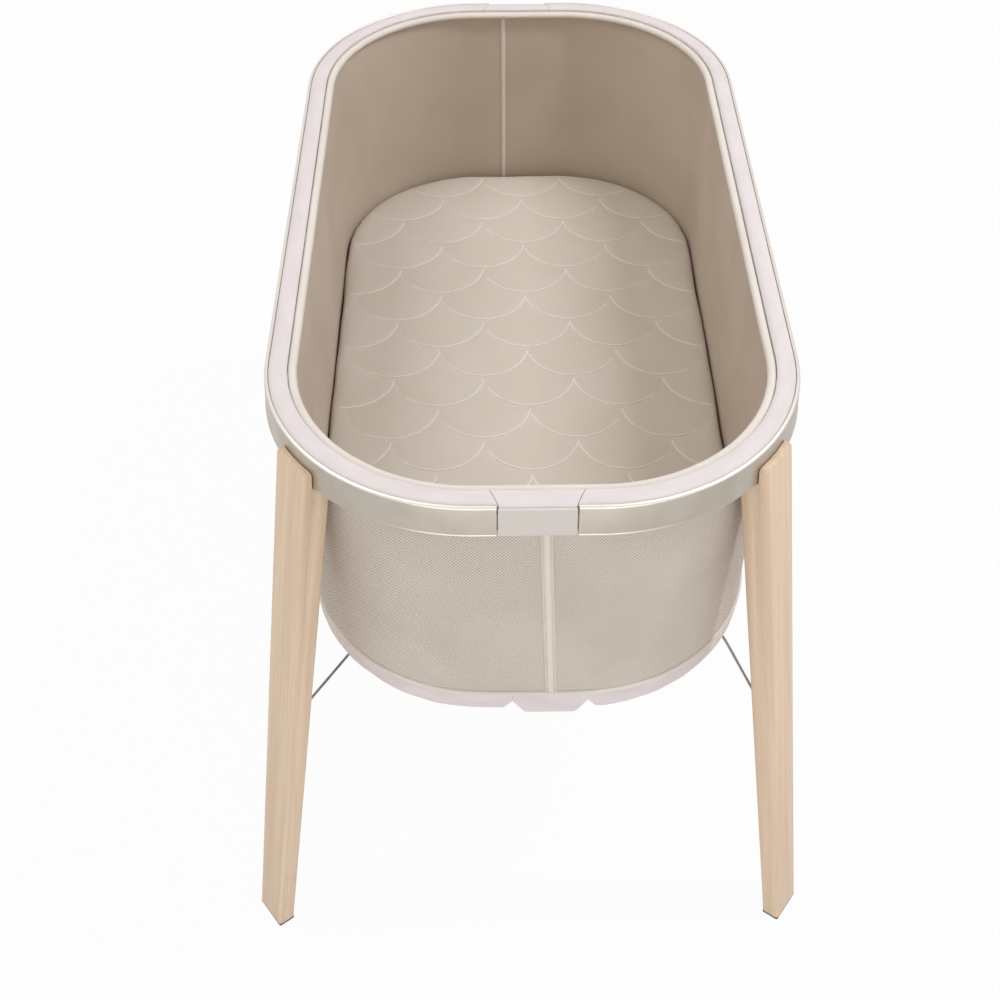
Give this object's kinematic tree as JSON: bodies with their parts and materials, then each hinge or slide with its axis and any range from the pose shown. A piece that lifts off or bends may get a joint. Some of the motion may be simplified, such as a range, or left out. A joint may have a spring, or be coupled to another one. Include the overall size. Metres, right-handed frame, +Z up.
{
  "type": "bassinet",
  "caption": "Free-standing bassinet: a deep mesh basket with a quilted mattress hangs in a rounded metal rim on splayed wooden legs, braced by crossed rods under the basket.",
  "frame": {"origin": "on the floor, under the middle of the rim", "axes": "+Z up; +Y towards the head end (the far end in the picture); +X to the right as seen from the foot end"},
  "size_m": [0.6668, 0.952, 0.7311],
  "materials": {
    "anodised_aluminium": "champagne anodised, satin",
    "connector_plastic": "pale grey, fine matt",
    "beech": "clear matt lacquer over light beech",
    "glide_plastic": "mid grey, matt",
    "zinc_steel": "zinc plated, satin",
    "spacer_mesh": "fine diagonal spacer mesh, beige",
    "binding_fabric": "plain weave, pale lavender grey",
    "piping_fabric": "corded piping, light beige",
    "fibreboard": "bare hardboard",
    "foam": "open foam, off-white",
    "quilted_knit": "quilted knit with raised scallop lines, beige"
  },
  "bodies": {
    "frame": {"base_ring_left": "zinc_steel", "base_ring_right": "zinc_steel", "binding_flap_foot": "binding_fabric", "binding_flap_head": "binding_fabric", "brace_rod_lower": "zinc_steel", "brace_rod_upper": "zinc_steel", "floor_panel": "binding_fabric", "glide_foot_left": "glide_plastic", "glide_foot_right": "glide_plastic", "glide_head_left": "glide_plastic", "glide_head_right": "glide_plastic", "hem_flap_foot": "binding_fabric", "hem_flap_head": "binding_fabric", "hem_left": "binding_fabric", "hem_piping": "piping_fabric", "hem_right": "binding_fabric", "leg_bolt_foot_left_a": "zinc_steel", "leg_bolt_foot_left_b": "zinc_steel", "leg_bolt_foot_right_a": "zinc_steel", "leg_bolt_foot_right_b": "zinc_steel", "leg_bolt_head_left_a": "zinc_steel", "leg_bolt_head_left_b": "zinc_steel", "leg_bolt_head_right_a": "zinc_steel", "leg_bolt_head_right_b": "zinc_steel", "leg_foot_left": "beech", "leg_foot_right": "beech", "leg_head_left": "beech", "leg_head_right": "beech", "mesh_foot_left": "spacer_mesh", "mesh_foot_right": "spacer_mesh", "mesh_head_left": "spacer_mesh", "mesh_head_right": "spacer_mesh", "mesh_side_left": "spacer_mesh", "mesh_side_right": "spacer_mesh", "rim_connector_foot": "connector_plastic", "rim_connector_head": "connector_plastic", "rim_left": "anodised_aluminium", "rim_right": "anodised_aluminium", "rim_screw_foot_left": "zinc_steel", "rim_screw_foot_right": "zinc_steel", "rim_screw_head_left": "zinc_steel", "rim_screw_head_right": "zinc_steel", "ring_sleeve_foot": "zinc_steel", "ring_sleeve_head": "zinc_steel", "seam_tape_foot": "spacer_mesh", "seam_tape_head": "spacer_mesh", "top_binding_left": "binding_fabric", "top_binding_right": "binding_fabric", "top_piping": "piping_fabric"},
    "base_board": {"base_board": "fibreboard"},
    "mattress": {"mattress_core": "foam", "mattress_cover": "quilted_knit"}
  },
  "joints": [
    {"name": "base_board_lift", "type": "slide", "parent": "frame", "child": "base_board", "axis": [0, 0, 1], "range_m": [0, 0.35]},
    {"name": "mattress_lift", "type": "slide", "parent": "base_board", "child": "mattress", "axis": [0, 0, 1], "range_m": [0, 0.35]}
  ]
}
